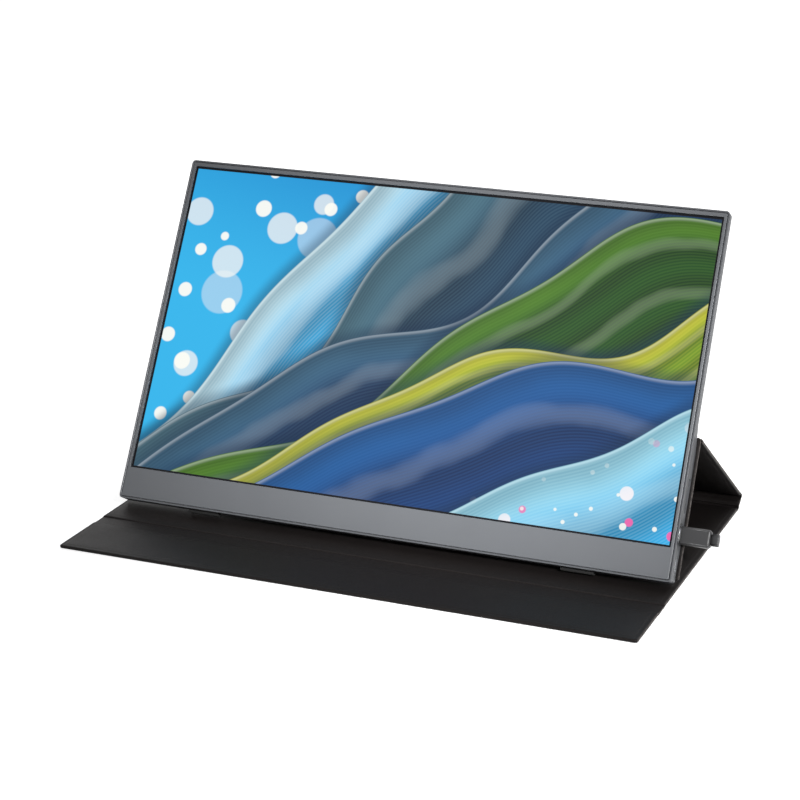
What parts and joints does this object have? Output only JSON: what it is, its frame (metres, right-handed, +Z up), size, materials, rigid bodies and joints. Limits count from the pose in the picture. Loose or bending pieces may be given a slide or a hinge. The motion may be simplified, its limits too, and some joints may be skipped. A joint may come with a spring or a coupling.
{
  "type": "portable monitor with folding cover",
  "caption": "Thin portable monitor held by magnets on a folded leather cover that makes a wedge stand, with a small connector plugged into its side.",
  "frame": {"origin": "centre of the base panel's underside, on the table", "axes": "+Z up, +X along the screen's width to the viewer's right, -Y the side that the screen faces"},
  "size_m": [0.3776, 0.2283, 0.2015],
  "materials": {
    "bezel_grey": "satin",
    "shell_grey": "satin",
    "adhesive_black": "matte",
    "screen_glass": "gloss",
    "panel_white": "matte",
    "guide_clear": "gloss",
    "film_silver": "satin",
    "led_yellow": "matte",
    "tray_steel": "satin",
    "board_green": "satin",
    "flex_orange": "satin",
    "foam_grey": "matte",
    "chip_black": "matte",
    "screw_dark": "satin",
    "cable_white": "matte",
    "port_steel": "polished",
    "moulding_black": "matte",
    "switch_steel": "satin",
    "foot_rubber": "matte",
    "button_grey": "satin",
    "plug_grey": "matte",
    "cover_leather": "satin",
    "cover_lining": "matte",
    "cover_board": "matte",
    "magnet_steel": "satin"
  },
  "bodies": {
    "base": {"base_leather": "cover_leather", "base_lining": "cover_lining", "base_board": "cover_board", "flap_crease_roll": "cover_leather", "base_crease_roll": "cover_leather"},
    "flap": {"flap_leather": "cover_leather", "flap_lining": "cover_lining", "flap_board": "cover_board", "flap_magnets": "magnet_steel"},
    "spine": {"spine_leather": "cover_leather", "spine_lining": "cover_lining", "spine_board": "cover_board", "prop_crease_roll": "cover_leather"},
    "prop": {"prop_leather": "cover_leather", "prop_lining": "cover_lining", "prop_board": "cover_board", "apex_crease_roll": "cover_leather"},
    "mount": {"mount_leather": "cover_leather", "mount_lining": "cover_lining", "mount_board": "cover_board", "mount_magnets": "magnet_steel"},
    "monitor": {"front_bezel": "bezel_grey", "bezel_tape": "adhesive_black", "lcd_cell": "screen_glass", "mid_frame": "panel_white", "diffuser_sheets": "panel_white", "light_guide": "guide_clear", "reflector_sheet": "film_silver", "led_bar": "led_yellow", "panel_tray": "tray_steel", "tcon_board": "board_green", "panel_flex": "flex_orange", "foam_pads": "foam_grey", "main_board": "board_green", "main_chips": "chip_black", "shield_can": "tray_steel", "board_standoffs": "tray_steel", "board_screws": "screw_dark", "display_cable": "cable_white", "io_board": "board_green", "io_cable": "cable_white", "usb_c_port_upper": "port_steel", "usb_c_port_lower": "port_steel", "mini_hdmi_port": "port_steel", "audio_jack": "moulding_black", "power_switch": "switch_steel", "rocker_switch": "switch_steel", "speaker_left": "moulding_black", "speaker_right": "moulding_black", "keeper_plates": "tray_steel", "rear_cover": "shell_grey", "rubber_feet": "foot_rubber"},
    "menu_rocker": {"menu_rocker": "moulding_black"},
    "power_button": {"power_button": "button_grey"},
    "plug": {"plug_shell": "port_steel", "plug_body": "plug_grey", "plug_relief": "plug_grey"}
  },
  "joints": [
    {"name": "flap_crease", "type": "hinge", "parent": "base", "child": "flap", "pos_m": [0, -0.0666, 0.0012], "axis": [-1, 0, 0], "range_deg": [0, 45]},
    {"name": "apex_crease", "type": "hinge", "parent": "prop", "child": "mount", "pos_m": [0, 0.01179, 0.07593], "axis": [1, 0, 0], "range_deg": [-21, 12]},
    {"name": "spine_crease", "type": "hinge", "parent": "base", "child": "spine", "pos_m": [0, 0.1094, 0.0012], "axis": [1, 0, 0], "range_deg": [-20.58, 35.79]},
    {"name": "prop_crease", "type": "hinge", "parent": "spine", "child": "prop", "pos_m": [0, 0.11663, 0.00657], "axis": [1, 0, 0], "range_deg": [-27.81, 16.02]},
    {"name": "monitor_release", "type": "slide", "parent": "mount", "child": "monitor", "axis": [0, -0.878, 0.4787], "range_m": [0, 0.02]},
    {"name": "menu_rocker", "type": "hinge", "parent": "monitor", "child": "menu_rocker", "pos_m": [0.1744, -0.0098, 0.05], "axis": [0, -0.878, 0.4787], "range_deg": [-2.5, 2.5], "stiffness_Nm_per_rad": 0.01},
    {"name": "power_press", "type": "slide", "parent": "monitor", "child": "power_button", "axis": [1, 0, 0], "range_m": [0, 0.0006], "stiffness_N_per_m": 400},
    {"name": "plug_pull", "type": "slide", "parent": "monitor", "child": "plug", "axis": [1, 0, 0], "range_m": [0, 0.0075]}
  ],
  "couplings": [
    {"joint": "spine_crease", "follows": "apex_crease", "ratio": -1.69},
    {"joint": "prop_crease", "follows": "apex_crease", "ratio": 1.31}
  ]
}
